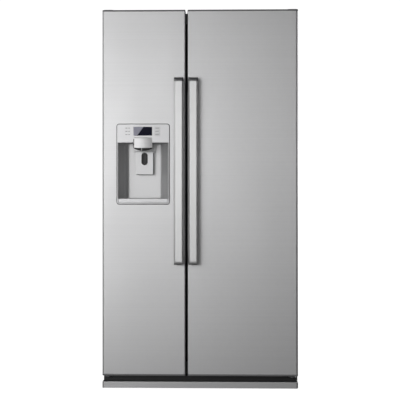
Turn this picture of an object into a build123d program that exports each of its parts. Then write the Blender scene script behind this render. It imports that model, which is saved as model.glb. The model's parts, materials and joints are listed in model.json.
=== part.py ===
"""Side-by-side refrigerator with a water and ice dispenser in the freezer door.

Millimetres. Origin on the floor at the middle of the footprint, +X to the right of someone
facing the doors, -Y towards them, +Z up. Every sub-part is a separate STEP file.
"""

import os

from build123d import *

os.makedirs("parts", exist_ok=True)

# overall
HALF_WIDTH = 456.0
DOOR_TOP = 1765.0
DOOR_BOTTOM = 60.5
DOOR_FACE = -316.0
DOOR_REAR = -248.0
DOOR_EDGES = {"freezer": (-456.0, -68.0), "fridge": (-58.0, 456.0)}
CAP = 7.5
SHEET = 0.8

# cabinet
CASE_HALF = 454.0
CASE_TOP = 1758.0
CASE_BOTTOM = 62.0
CASE_FRONT = -236.0
CASE_BACK = 370.0
REAR_LIMIT = 374.0
WALL = 53.0
LINER = 2.0
MULLION = (-93.0, -33.0)
FLOOR_TOP = 112.0
CEILING = 1705.0
REAR_WALL = 305.0
STEP_FRONT = 150.0
STEP_TOP = 330.0
MACHINE_TOP = 290.0

# compartments inside their liners
FREEZER = (-CASE_HALF + WALL + LINER, MULLION[0] - LINER)
FRIDGE = (MULLION[1] + LINER, CASE_HALF - WALL - LINER)
BASE_LEVEL = FLOOR_TOP + LINER
BACK_LEVEL = REAR_WALL - LINER

# hinges
HINGE_X = 430.0
HINGE_Y = -274.0
PIN_R = 5.0

# handles
HANDLE_X = {"freezer": -97.0, "fridge": -29.5}
HANDLE_Z = (579.0, 1446.0)
HANDLE_FRONT = -374.0
HANDLE_BACK = -354.0
HANDLE_W = 46.0
HANDLE_END = 19.0

# dispenser
DISP_X = -265.0
DISP_W = 244.0
DISP_Z = (860.0, 1232.0)
HEADER_Z = 1147.0
SPLAY_Y = (-311.0, -211.0)
SPLAY_HALF = (117.0, 76.0)
CHUTE_HALF = 40.0
CHUTE_Z = (1118.0, 1252.0)
WINDOW = (-310.0, -223.0, 1179.0, 1220.0)
BUTTON_X = -199.5
BUTTON_Z = (1184.0, 1199.0, 1214.0)
BULGE_X = (-393.0, -137.0)
BULGE_Z = (856.0, 1250.0)
BULGE_REAR = -182.0


def block(x, y, z, mode=Mode.ADD):
    """Box between two values on each axis."""
    with Locations((sum(x) / 2, sum(y) / 2, sum(z) / 2)):
        return Box(x[1] - x[0], y[1] - y[0], z[1] - z[0], mode=mode)


def cylinder(centre, radius, height, axis=Axis.Z, mode=Mode.ADD):
    """Cylinder centred on a point, along one axis."""
    turn = {"Z": (0, 0, 0), "X": (0, 90, 0), "Y": (90, 0, 0)}
    name = "XYZ"[[abs(v) for v in axis.direction].index(1)]
    with Locations(Location(centre, turn[name])):
        return Cylinder(radius, height, mode=mode)


def prism_z(points, z, mode=Mode.ADD):
    """Plan outline extruded between two heights."""
    with BuildSketch(Plane.XY.offset(z[0])) as outline:
        Polygon(*points, align=None)
    return extrude(outline.sketch, amount=z[1] - z[0], mode=mode)


def prism_x(points, x, mode=Mode.ADD):
    """Side outline of (y, z) points extruded between two widths."""
    with BuildSketch(Plane.YZ.offset(x[0])) as outline:
        Polygon(*points, align=None)
    return extrude(outline.sketch, amount=x[1] - x[0], mode=mode)


def tray(x, y, z, wall, radius):
    """Open-topped box with rounded upright corners."""
    with BuildSketch(Plane.XY.offset(z[0])) as outside:
        with Locations((sum(x) / 2, sum(y) / 2)):
            RectangleRounded(x[1] - x[0], y[1] - y[0], radius)
    extrude(outside.sketch, amount=z[1] - z[0])
    with BuildSketch(Plane.XY.offset(z[0] + wall)) as hollow:
        with Locations((sum(x) / 2, sum(y) / 2)):
            RectangleRounded(x[1] - x[0] - 2 * wall, y[1] - y[0] - 2 * wall, radius - wall / 2)
    extrude(hollow.sketch, amount=z[1] - z[0], mode=Mode.SUBTRACT)


def save(builder, name):
    """Label a finished sub-part and write its STEP file."""
    builder.part.label = name
    export_step(builder.part, f"parts/{name}.step")


# ---- cabinet ---------------------------------------------------------------------------

# the front flange covers the foam and the liner edges around both compartments
with BuildPart() as cabinet_wrapper:
    block((-CASE_HALF, CASE_HALF), (CASE_FRONT, CASE_BACK), (CASE_BOTTOM, CASE_TOP))
    block(
        (-CASE_HALF + SHEET, CASE_HALF - SHEET),
        (CASE_FRONT + SHEET, CASE_BACK + 1),
        (CASE_BOTTOM - 1, CASE_TOP - SHEET),
        Mode.SUBTRACT,
    )
    for compartment in (FREEZER, FRIDGE):
        block(
            compartment,
            (CASE_FRONT - 1, CASE_FRONT + SHEET),
            (BASE_LEVEL, CEILING - LINER),
            Mode.SUBTRACT,
        )
save(cabinet_wrapper, "cabinet_wrapper")

# the rear panel runs down both sides of the machine compartment
with BuildPart() as rear_panel:
    block(
        (-CASE_HALF + SHEET, CASE_HALF - SHEET),
        (CASE_BACK - SHEET, CASE_BACK),
        (CASE_BOTTOM, CASE_TOP - SHEET),
    )
    block(
        (-CASE_HALF + WALL, CASE_HALF - WALL),
        (CASE_BACK - SHEET - 1, CASE_BACK + 1),
        (CASE_BOTTOM - 1, MACHINE_TOP),
        Mode.SUBTRACT,
    )
save(rear_panel, "rear_panel")

FOAM_FRONT = CASE_FRONT + SHEET
FOAM_BACK = CASE_BACK - SHEET
FOAM_SIDE = CASE_HALF - SHEET
INNER = CASE_HALF - WALL
RISER_BACK = STEP_FRONT + 45
FOAM_TOP = CASE_TOP - SHEET
JOINT = 0.2
FOAM_SLABS = [
    ((-FOAM_SIDE, -INNER), (FOAM_FRONT, FOAM_BACK), (CASE_BOTTOM, FOAM_TOP)),
    ((INNER, FOAM_SIDE), (FOAM_FRONT, FOAM_BACK), (CASE_BOTTOM, FOAM_TOP)),
    ((-INNER, INNER), (FOAM_FRONT, FOAM_BACK), (CEILING, FOAM_TOP)),
    ((-INNER, INNER), (FOAM_FRONT, STEP_FRONT), (CASE_BOTTOM, FLOOR_TOP)),
    ((-INNER, INNER), (STEP_FRONT, RISER_BACK), (CASE_BOTTOM, STEP_TOP)),
    ((-INNER, INNER), (RISER_BACK, FOAM_BACK), (MACHINE_TOP, STEP_TOP)),
    ((-INNER, INNER), (REAR_WALL, FOAM_BACK), (STEP_TOP, CEILING)),
    (MULLION, (FOAM_FRONT, STEP_FRONT), (FLOOR_TOP, STEP_TOP)),
    (MULLION, (FOAM_FRONT, REAR_WALL), (STEP_TOP, CEILING)),
]
with BuildPart() as cabinet_insulation:
    for slab in FOAM_SLABS:
        block(*[(low + JOINT, high - JOINT) for low, high in slab])
save(cabinet_insulation, "cabinet_insulation")


def liner_outline(front, inset):
    """Side outline of a compartment, stepped over the machine compartment."""
    low, high = FLOOR_TOP + inset, CEILING - inset
    step, back = STEP_TOP + inset, REAR_WALL - inset
    riser = STEP_FRONT - inset
    return [(front, low), (riser, low), (riser, step), (back, step), (back, high), (front, high)]


def compartment_liner(name, low, high):
    """Thin moulded tub that faces one compartment."""
    with BuildPart() as liner:
        prism_x(liner_outline(FOAM_FRONT, 0.0), (low - LINER, high + LINER))
        prism_x(liner_outline(FOAM_FRONT - 1, LINER), (low, high), Mode.SUBTRACT)
    save(liner, name)


compartment_liner("freezer_liner", *FREEZER)
compartment_liner("fridge_liner", *FRIDGE)

# ---- base ------------------------------------------------------------------------------

RAIL_X = (404.0, 446.0)
RAIL_Z = (22.0, 61.8)
FOOT_X = 425.0
FOOT_Y = -196.0
FOOT_R = 18.0
FOOT_SCREW = 6.0
ROLLER_Y = 320.0
ROLLER_R = 19.0
ROLLER_X = (376.0, 398.0)
AXLE_R = 4.0
TRAY_Z = (25.0, 27.0)
FRAME_FRONT = -234.0
with BuildPart() as base_frame:
    for side in (-1, 1):
        block(sorted((side * RAIL_X[0], side * RAIL_X[1])), (FRAME_FRONT, 366), RAIL_Z)
        cylinder((side * FOOT_X, FOOT_Y, 42), FOOT_SCREW + 0.5, 60, mode=Mode.SUBTRACT)
        block(sorted((side * RAIL_X[0], side * 410)), (ROLLER_Y - 16, ROLLER_Y + 16), (8, 30))
        cylinder((side * 408, ROLLER_Y, ROLLER_R), AXLE_R + 0.5, 20, Axis.X, Mode.SUBTRACT)
    block((-RAIL_X[0], RAIL_X[0]), (FRAME_FRONT, -214), (30, RAIL_Z[1]))
    block((-RAIL_X[0], RAIL_X[0]), (196, 216), (TRAY_Z[0], 55))
    block((-ROLLER_X[0] + 8, ROLLER_X[0] - 8), (196, 362), TRAY_Z)
    block((-RAIL_X[0], RAIL_X[0]), (346, 362), (TRAY_Z[0], 42))
save(base_frame, "base_frame")

TRIM_Y = (-247.0, -239.5)
TRIM_X = 455.5
TRIM_T = 3.0
TAB_X = (-300.0, 0.0, 300.0)
TRIM_Z = (12.0, 59.0)
HINGE_WINDOW = (46.0, 60.0)
with BuildPart() as base_trim:
    block((-TRIM_X, TRIM_X), TRIM_Y, TRIM_Z)
    behind = (TRIM_Y[0] + TRIM_T, TRIM_Y[1] + 1)
    block((-TRIM_X + TRIM_T, TRIM_X - TRIM_T), behind, (8, TRIM_Z[1] - TRIM_T), Mode.SUBTRACT)
    for side in (-1, 1):
        window_x = (side * HINGE_X - 18, side * HINGE_X + 18)
        block(window_x, (TRIM_Y[0] - 1, TRIM_Y[1] + 1), HINGE_WINDOW, Mode.SUBTRACT)
    for x in TAB_X:
        block((x - 12, x + 12), (TRIM_Y[0] + 1, FRAME_FRONT), (30, 48))
save(base_trim, "base_trim")

KICK_Z = (3.0, 33.5)
KICK_T = 2.0
KICK_FLANGE = 7.0
KICK_BACK = -250.0
with BuildPart() as kick_plate:
    block((-HALF_WIDTH, HALF_WIDTH), (DOOR_FACE, KICK_BACK), KICK_Z)
    front = kick_plate.edges().filter_by(Axis.Z).group_by(Axis.Y)[0]
    fillet(front, 9)
    fillet(kick_plate.faces().sort_by(Axis.Y)[0].edges().sort_by(Axis.Z)[-1], 3)
    block(
        (-HALF_WIDTH + KICK_T, HALF_WIDTH - KICK_T),
        (DOOR_FACE + KICK_T, KICK_BACK + 1),
        (KICK_Z[0] - 1, KICK_Z[1] - KICK_T),
        Mode.SUBTRACT,
    )
    block(
        (-HALF_WIDTH + KICK_T, HALF_WIDTH - KICK_T),
        (DOOR_FACE + KICK_FLANGE, KICK_BACK + 1),
        (KICK_Z[1] - KICK_T - 1, KICK_Z[1] + 1),
        Mode.SUBTRACT,
    )
    for x in TAB_X:
        block((x - 10, x + 10), (DOOR_FACE + KICK_T, TRIM_Y[0]), (14, 22))
save(kick_plate, "kick_plate")


def levelling_foot(name, side):
    """Screw with a round pad and a hexagon for the spanner."""
    with BuildPart() as foot:
        cylinder((side * FOOT_X, FOOT_Y, 4), FOOT_R, 8)
        fillet(foot.edges().filter_by(GeomType.CIRCLE), 1.5)
        with BuildSketch(Plane.XY.offset(8)):
            with Locations((side * FOOT_X, FOOT_Y)):
                RegularPolygon(10, 6)
        extrude(amount=7)
        cylinder((side * FOOT_X, FOOT_Y, 35), FOOT_SCREW, 42)
    save(foot, name)


levelling_foot("levelling_foot_left", -1)
levelling_foot("levelling_foot_right", 1)

with BuildPart() as rear_rollers:
    cylinder((0, ROLLER_Y, ROLLER_R), AXLE_R, 826, Axis.X)
    for side in (-1, 1):
        roller = (side * sum(ROLLER_X) / 2, ROLLER_Y, ROLLER_R)
        cylinder(roller, ROLLER_R, ROLLER_X[1] - ROLLER_X[0], Axis.X)
save(rear_rollers, "rear_rollers")

# ---- machine compartment ---------------------------------------------------------------

COMP_X, COMP_Y = 150.0, 276.0
COMP_R = 66.0
SHELL_Z = (53.0, 183.0)
COMP_BASE = (170.0, 120.0)
BASE_Z = 46.0
GROMMET_R = 9.0
with BuildPart() as compressor:
    cylinder((COMP_X, COMP_Y, sum(SHELL_Z) / 2), COMP_R, SHELL_Z[1] - SHELL_Z[0])
    fillet(compressor.edges().filter_by(GeomType.CIRCLE), 30)
    with BuildSketch(Plane.XY.offset(BASE_Z)):
        with Locations((COMP_X, COMP_Y)):
            RectangleRounded(*COMP_BASE, 14)
    extrude(amount=8)
    with Locations((COMP_X, COMP_Y, (TRAY_Z[1] + BASE_Z + 1) / 2)):
        with GridLocations(COMP_BASE[0] - 30, COMP_BASE[1] - 30, 2, 2):
            Cylinder(GROMMET_R, BASE_Z + 1 - TRAY_Z[1])
    block((COMP_X + COMP_R - 6, COMP_X + COMP_R + 26), (COMP_Y - 24, COMP_Y + 24), (90, 140))
save(compressor, "compressor")


def serpentine(start, length, pitch, runs, radius):
    """Tube bent back and forth in an upright plane, from its lower left end."""
    plane = Plane(origin=start, x_dir=(1, 0, 0), z_dir=(0, -1, 0))
    points = []
    for run in range(runs):
        ends = (0, length) if run % 2 == 0 else (length, 0)
        points += [(ends[0], run * pitch), (ends[1], run * pitch)]
    with BuildLine(plane) as path:
        FilletPolyline(*points, radius=pitch / 2 - 0.01)
    with BuildSketch(path.line ^ 0) as bore:
        Circle(radius)
    return sweep(bore.sketch, path=path.line)


COIL_X = (-350.0, -110.0)
FIN_T = 1.2
FIN_PITCH = 27.0
FINS = 8
with BuildPart() as condenser_coil:
    for y in (262.0, 296.0):
        serpentine((COIL_X[0], y, 62), COIL_X[1] - COIL_X[0], 28, 6, 3)
    for fin in range(FINS):
        fin_x = COIL_X[0] + 22 + fin * FIN_PITCH
        block((fin_x, fin_x + FIN_T), (252, 306), (54, 210))
save(condenser_coil, "condenser_coil")

COND_FAN = (-40.0, 279.0, 146.0)


def fan(centre, axis, hub, tip, depth, blades):
    """Hub with pitched blades, turning about X or Y."""
    cylinder(centre, hub, depth, axis)
    turn = (0, 90, 0) if axis == Axis.X else (90, 0, 0)
    for blade in range(blades):
        spin = Location(centre, turn) * Location((0, 0, 0), (0, 0, blade * 360 / blades))
        with Locations(spin * Location(((hub + tip) / 2 - 1, 0, 0), (28, 0, 0))):
            Box(tip - hub + 2, (hub + tip) * 0.5, 1.8)


with BuildPart() as condenser_fan:
    fan(COND_FAN, Axis.X, 18, 66, 20, 5)
save(condenser_fan, "condenser_fan")

with BuildPart() as condenser_fan_motor:
    motor_x = COND_FAN[0] + 12
    cylinder((motor_x + 20, COND_FAN[1], COND_FAN[2]), 24, 36, Axis.X)
    block((motor_x + 12, motor_x + 30), (COND_FAN[1] - 9, COND_FAN[1] + 9), (TRAY_Z[1], 126))
    block((motor_x + 6, motor_x + 36), (COND_FAN[1] - 30, COND_FAN[1] + 30), (TRAY_Z[1], 32))
save(condenser_fan_motor, "condenser_fan_motor")

with BuildPart() as evaporation_pan:
    tray((-360, -100), (222, 340), (TRAY_Z[1], 50), 2.0, 10)
save(evaporation_pan, "evaporation_pan")

COVER_X = (-398.0, 250.0)
COVER_Z = (44.0, 288.0)
with BuildPart() as machine_cover:
    block(COVER_X, (CASE_BACK, REAR_LIMIT), COVER_Z)
    fillet(machine_cover.edges().filter_by(Axis.Y), 8)
    with Locations((sum(COVER_X) / 2, CASE_BACK, 170)):
        with GridLocations(40, 0, 14, 1):
            for z in (-58, 0, 58):
                with Locations((0, 0, z)):
                    Box(10, 20, 40, mode=Mode.SUBTRACT)
save(machine_cover, "machine_cover")

SERVICE_X = (258.0, 399.0)
SPIGOT_X, SPIGOT_Z = 350.0, 150.0
SPIGOT_R = 13.2
VALVE_Y = (300.0, 356.0)
INLET_X, INLET_Z = 292.0, 150.0
with BuildPart() as water_valve:
    block((SPIGOT_X - 28, SPIGOT_X + 28), VALVE_Y, (SPIGOT_Z - 28, SPIGOT_Z + 28))
    spigot = (VALVE_Y[0] + 2, REAR_LIMIT)
    cylinder((SPIGOT_X, sum(spigot) / 2, SPIGOT_Z), SPIGOT_R, spigot[1] - spigot[0], Axis.Y)
    cylinder((SPIGOT_X, REAR_LIMIT - 6, SPIGOT_Z), 9, 14, Axis.Y, Mode.SUBTRACT)
    for x in (-14, 14):
        cylinder((SPIGOT_X + x, 326, 196), 12, 40)
save(water_valve, "water_valve")

with BuildPart() as power_inlet:
    block(SERVICE_X, (366, 368), (44, 288))
    cylinder((SPIGOT_X, 367, SPIGOT_Z), SPIGOT_R + 1, 12, Axis.Y, Mode.SUBTRACT)
    cylinder((INLET_X, 364, INLET_Z), 14, 20, Axis.Y)
    cylinder((INLET_X, 364, INLET_Z), 5, 30, Axis.Y, Mode.SUBTRACT)
save(power_inlet, "power_inlet")

# ---- cooling inside the freezer and air to the fridge ------------------------------------

EVAP_Y = (268.0, 296.0)
EVAP_X = (-370.0, -124.0)
with BuildPart() as evaporator:
    for y in EVAP_Y:
        serpentine((EVAP_X[0], y - 4, 420), EVAP_X[1] - EVAP_X[0], 36, 8, 4)
    for fin in range(FINS):
        fin_x = EVAP_X[0] + 28 + fin * FIN_PITCH
        block((fin_x, fin_x + FIN_T), (EVAP_Y[0] - 12, EVAP_Y[1]), (412, 680))
save(evaporator, "evaporator")

FAN_AT = (-246.0, 272.0, 1210.0)
FAN_HOLE = 62.0
COVER_FRONT = 240.0
COVER_T = 3.0
COVER_SPAN = (400.0, 1380.0)
GUARD_Z = (-45, -30, -15, 0, 15, 30, 45)
with BuildPart() as evaporator_cover:
    block(FREEZER, (COVER_FRONT, COVER_FRONT + COVER_T), COVER_SPAN)
    for x in (FREEZER[0], FREEZER[1] - COVER_T):
        block((x, x + COVER_T), (COVER_FRONT, BACK_LEVEL), COVER_SPAN)
    cylinder((FAN_AT[0], COVER_FRONT, FAN_AT[2]), FAN_HOLE, 12, Axis.Y, Mode.SUBTRACT)
    with Locations((FAN_AT[0], COVER_FRONT + 1, FAN_AT[2])):
        for z in GUARD_Z:
            with Locations((0, 0, z)):
                Box(2 * FAN_HOLE + 8, 3, 3)
    with Locations((FAN_AT[0], COVER_FRONT, 430)):
        with GridLocations(24, 0, 10, 1):
            Box(14, 12, 36, mode=Mode.SUBTRACT)
save(evaporator_cover, "evaporator_cover")

with BuildPart() as evaporator_fan:
    fan(FAN_AT, Axis.Y, 16, 54, 18, 5)
    cylinder((FAN_AT[0], BACK_LEVEL - 10, FAN_AT[2]), 4, 19, Axis.Y)
save(evaporator_fan, "evaporator_fan")

DUCT_X = (120.0, 246.0)
DUCT_Z = (700.0, 1640.0)
DUCT_FRONT = 278.0
DUCT_T = 3.0
OUTLETS_Z = (740.0, 960.0, 1190.0, 1420.0, 1600.0)
with BuildPart() as air_duct:
    block(DUCT_X, (DUCT_FRONT, BACK_LEVEL), DUCT_Z)
    fillet(air_duct.faces().sort_by(Axis.Y)[0].edges(), 6)
    block(
        (DUCT_X[0] + DUCT_T, DUCT_X[1] - DUCT_T),
        (DUCT_FRONT + DUCT_T, BACK_LEVEL + 1),
        (DUCT_Z[0] + DUCT_T, DUCT_Z[1] - DUCT_T),
        Mode.SUBTRACT,
    )
    for z in OUTLETS_Z:
        slot_x = (DUCT_X[0] + 22, DUCT_X[1] - 22)
        block(slot_x, (DUCT_FRONT - 8, DUCT_FRONT + 12), (z - 6, z + 6), Mode.SUBTRACT)
save(air_duct, "air_duct")

# ---- shelves, drawers, ice maker ---------------------------------------------------------

GLASS = 5.0
FREEZER_SHELVES = (470.0, 640.0, 830.0, 1040.0, 1286.0)
FRIDGE_SHELVES = (560.0, 790.0, 1020.0, 1250.0, 1470.0)
SHELF_FRONT = -96.0
with BuildPart() as glass_shelves:
    for z in FREEZER_SHELVES:
        block(FREEZER, (SHELF_FRONT, COVER_FRONT), (z, z + GLASS))
    for z in FRIDGE_SHELVES:
        block(FRIDGE, (SHELF_FRONT, DUCT_FRONT - 2), (z, z + GLASS))
save(glass_shelves, "glass_shelves")


def drawer(name, side, depth, height):
    """Tub drawer with a thicker front and a hooked grip along its top."""
    low, high = side[0] + 4, side[1] - 4
    front, back = depth
    with BuildPart() as box:
        tray((low, high), (front + 6, back), height, 3.0, 12)
        block((low, high), (front, front + 8), height)
        block((low + 30, high - 30), (front - 14, front), (height[1] - 12, height[1]))
        grip = (height[1] - 20, height[1] - 5)
        block((low + 33, high - 33), (front - 11, front), grip, Mode.SUBTRACT)
    save(box, name)


DRAWER_FRONT = -112.0
drawer("freezer_drawer", FREEZER, (DRAWER_FRONT, STEP_FRONT - 8), (BASE_LEVEL + 4, 322))
drawer("crisper_lower", FRIDGE, (DRAWER_FRONT, STEP_FRONT - 8), (BASE_LEVEL + 4, 322))
drawer("crisper_upper", FRIDGE, (DRAWER_FRONT, 290), (STEP_TOP + LINER + 4, 530))

MAKER_X = (FREEZER[0], -180.0)
with BuildPart() as ice_maker:
    block(MAKER_X, (-60, 190), (1560, 1650))
    fillet(ice_maker.edges().filter_by(Axis.Y), 8)
    with Locations((sum(MAKER_X) / 2, 70, 1650)):
        with GridLocations(0, 30, 1, 7):
            Box(110, 24, 60, mode=Mode.SUBTRACT)
    block((MAKER_X[1] - 6, MAKER_X[1] + 20), (-60, -20), (1540, 1640))
save(ice_maker, "ice_maker")

BIN_X = (-344.0, -126.0)
BIN_Y = (-226.0, 236.0)
BIN_Z = (1291.0, 1462.0)
AUGER = (DISP_X + 19, 1350.0)
OUTLET_Y = (-222.0, -180.0)
with BuildPart() as ice_bin:
    tray(BIN_X, BIN_Y, BIN_Z, 3.0, 14)
    outlet = (BIN_Z[0] - 1, BIN_Z[0] + 5)
    block((DISP_X - 34, DISP_X + 34), OUTLET_Y, outlet, Mode.SUBTRACT)
    for x in (BIN_X[0], BIN_X[1] - 6):
        block((x, x + 6), (BIN_Y[0] + 20, BIN_Y[1] - 20), (BIN_Z[1] - 8, BIN_Z[1]))
save(ice_bin, "ice_bin")

with BuildPart() as ice_auger:
    shaft_y = (BIN_Y[0] + 8, BIN_Y[1] - 8)
    cylinder((AUGER[0], sum(shaft_y) / 2, AUGER[1]), 6, shaft_y[1] - shaft_y[0], Axis.Y)
    for blade in range(16):
        blade_y = shaft_y[0] + 20 + blade * 26
        spin = Location((AUGER[0], blade_y, AUGER[1]), (0, blade * 45, 0))
        with Locations(spin * Location((0, 0, 0), (0, 0, 18))):
            Box(88, 5, 14)
save(ice_auger, "ice_auger")

# ---- hinges ------------------------------------------------------------------------------

HINGE_HALF = 16.0
with BuildPart() as lower_hinges:
    for side in (-1, 1):
        arm = (side * HINGE_X - HINGE_HALF, side * HINGE_X + HINGE_HALF)
        block(arm, (HINGE_Y, CASE_FRONT - 1), (50, 55))
        cylinder((side * HINGE_X, HINGE_Y, 52.5), HINGE_HALF, 5)
        cylinder((side * HINGE_X, HINGE_Y, 60), PIN_R, 14)
        cylinder((side * HINGE_X, HINGE_Y, 56.5), 9, 5)
        block(arm, (CASE_FRONT - 2, FRAME_FRONT), (30, DOOR_BOTTOM - 1))
save(lower_hinges, "lower_hinges")

COVER_TOP = 1769.5
PLATE_Z = (1765.4, 1767.4)
with BuildPart() as upper_hinges:
    for side in (-1, 1):
        arm = (side * HINGE_X - HINGE_HALF, side * HINGE_X + HINGE_HALF)
        block(arm, (HINGE_Y, -150), PLATE_Z)
        block(arm, (CASE_FRONT + 9, -150), (CASE_TOP, 1766))
        cylinder((side * HINGE_X, HINGE_Y, sum(PLATE_Z) / 2), HINGE_HALF, 2)
        cylinder((side * HINGE_X, HINGE_Y, 1763), PIN_R, 7.5)
save(upper_hinges, "upper_hinges")

HINGE_COVER_Y = (HINGE_Y - HINGE_HALF - 4, -120.0)
with BuildPart() as hinge_covers:
    for side in (-1, 1):
        spread = (side * HINGE_X - 21, side * HINGE_X + 21)
        block(spread, HINGE_COVER_Y, (PLATE_Z[0], COVER_TOP))
        block(spread, (-232, HINGE_COVER_Y[1]), (CASE_TOP, PLATE_Z[1]))
    fillet(hinge_covers.edges().filter_by(Axis.Z), 6)
    for side in (-1, 1):
        inside = (side * HINGE_X - 18, side * HINGE_X + 18)
        block(inside, (HINGE_COVER_Y[0] + 3, -146), (1765, COVER_TOP - 1.5), Mode.SUBTRACT)
        block(inside, (-229, -146), (CASE_TOP - 1, COVER_TOP - 1.5), Mode.SUBTRACT)
save(hinge_covers, "hinge_covers")

# ---- doors -------------------------------------------------------------------------------

SKIN_BACK = -250.0
HINGE_EDGE_R = 10.0
FREE_EDGE_R = 5.0
CORE_REAR = -250.0
CORE_Z = (DOOR_BOTTOM + CAP, DOOR_TOP - CAP)
CUT_X = (DISP_X - DISP_W / 2 + 2, DISP_X + DISP_W / 2 - 2)
CUT_Z = (DISP_Z[0] + 2, DISP_Z[1] - 2)
HINGE_SIDE = {"freezer": -1, "fridge": 1}
GASKET_INSET = (26.0, 8.0)
GASKET_W = 14.0
GASKET_Z = (88.0, 1729.0)


def door_plan(door, inset, rear):
    """Plan of a door with rounded front corners, larger on the hinge side."""
    low, high = DOOR_EDGES[door]
    low, high = low + inset, high - inset
    front = DOOR_FACE + inset
    Polygon((low, front), (high, front), (high, rear), (low, rear), align=None)
    corners = vertices().group_by(Axis.Y)[0].sort_by(Axis.X)
    if HINGE_SIDE[door] > 0:
        corners = corners[::-1]
    fillet(corners[0], HINGE_EDGE_R - inset)
    remaining = vertices().group_by(Axis.Y)[0].sort_by(Axis.X)
    far = remaining[-1] if HINGE_SIDE[door] < 0 else remaining[0]
    fillet(far, FREE_EDGE_R - inset)


def door_block(door, inset, rear, z, mode=Mode.ADD):
    """Upright door-shaped block."""
    with BuildSketch(Plane.XY.offset(z[0])) as plan:
        door_plan(door, inset, rear)
    return extrude(plan.sketch, amount=z[1] - z[0], mode=mode)


def door_skin(door):
    """Folded sheet over the front and both sides."""
    with BuildPart() as shell:
        door_block(door, 0.0, SKIN_BACK, CORE_Z)
        door_block(door, SHEET, SKIN_BACK + 5, CORE_Z, Mode.SUBTRACT)
        if door == "freezer":
            block(CUT_X, (DOOR_FACE - 5, DOOR_FACE + 5), CUT_Z, Mode.SUBTRACT)
    save(shell, f"{door}_door_skin")


def door_caps(door):
    """Moulded caps that close the top and bottom and hold the hinge pins."""
    with BuildPart() as caps:
        for z in ((DOOR_BOTTOM, CORE_Z[0]), (CORE_Z[1], DOOR_TOP)):
            door_block(door, 0.0, DOOR_REAR, z)
        pin_x = HINGE_SIDE[door] * HINGE_X
        cylinder((pin_x, HINGE_Y, DOOR_BOTTOM + 3), PIN_R + 0.5, 8, mode=Mode.SUBTRACT)
        cylinder((pin_x, HINGE_Y, DOOR_TOP - 3), PIN_R + 0.5, 7.5, mode=Mode.SUBTRACT)
    save(caps, f"{door}_door_caps")


def door_gasket(door):
    """Soft magnetic seal around the back of a door."""
    low, high = DOOR_EDGES[door]
    insets = GASKET_INSET if HINGE_SIDE[door] < 0 else GASKET_INSET[::-1]
    outer = (low + insets[0], high - insets[1])
    inner = (outer[0] + GASKET_W, outer[1] - GASKET_W)
    depth = (DOOR_REAR, CASE_FRONT - 0.4)
    with BuildPart() as seal:
        block(outer, depth, GASKET_Z)
        fillet(seal.edges().filter_by(Axis.Y), 6)
        hole = (GASKET_Z[0] + GASKET_W, GASKET_Z[1] - GASKET_W)
        block(inner, (depth[0] - 1, depth[1] + 1), hole, Mode.SUBTRACT)
    save(seal, f"{door}_door_gasket")


def handle(door):
    """Upright bar with bevelled edges, and end caps whose posts reach the door."""
    centre = HANDLE_X[door]
    half = HANDLE_W / 2
    flat = 15.5
    bar_z = (HANDLE_Z[0] + HANDLE_END, HANDLE_Z[1] - HANDLE_END)
    outline = [
        (centre - flat, HANDLE_FRONT),
        (centre + flat, HANDLE_FRONT),
        (centre + half, HANDLE_FRONT + 8),
        (centre + half - 3, HANDLE_BACK),
        (centre - half + 3, HANDLE_BACK),
        (centre - half, HANDLE_FRONT + 8),
    ]
    with BuildPart() as bar:
        prism_z(outline, bar_z)
        fillet(bar.edges().filter_by(Axis.Z), 1.5)
    save(bar, f"{door}_handle_bar")
    with BuildPart() as ends:
        for z in ((HANDLE_Z[0], bar_z[0]), (bar_z[1], HANDLE_Z[1])):
            prism_z(outline, z)
        fillet(ends.edges().filter_by(Axis.Z), 1.5)
        tips = ends.faces().group_by(Axis.Z)
        fillet(tips[0].edges() + tips[-1].edges(), 7)
        for z in ((HANDLE_Z[0] + 2, bar_z[0] + 42), (bar_z[1] - 42, HANDLE_Z[1] - 2)):
            block((centre - 14, centre + 14), (HANDLE_BACK, DOOR_FACE), z)
    save(ends, f"{door}_handle_ends")


for door in DOOR_EDGES:
    door_skin(door)
    door_caps(door)
    door_gasket(door)
    handle(door)

CORE_IN = SHEET
WEDGE = 5.0


def foam_prism(points, z):
    """Upright foam prism held back from its neighbours by the joint width."""
    prism_z(points, (z[0] + JOINT, z[1] - JOINT))


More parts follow.
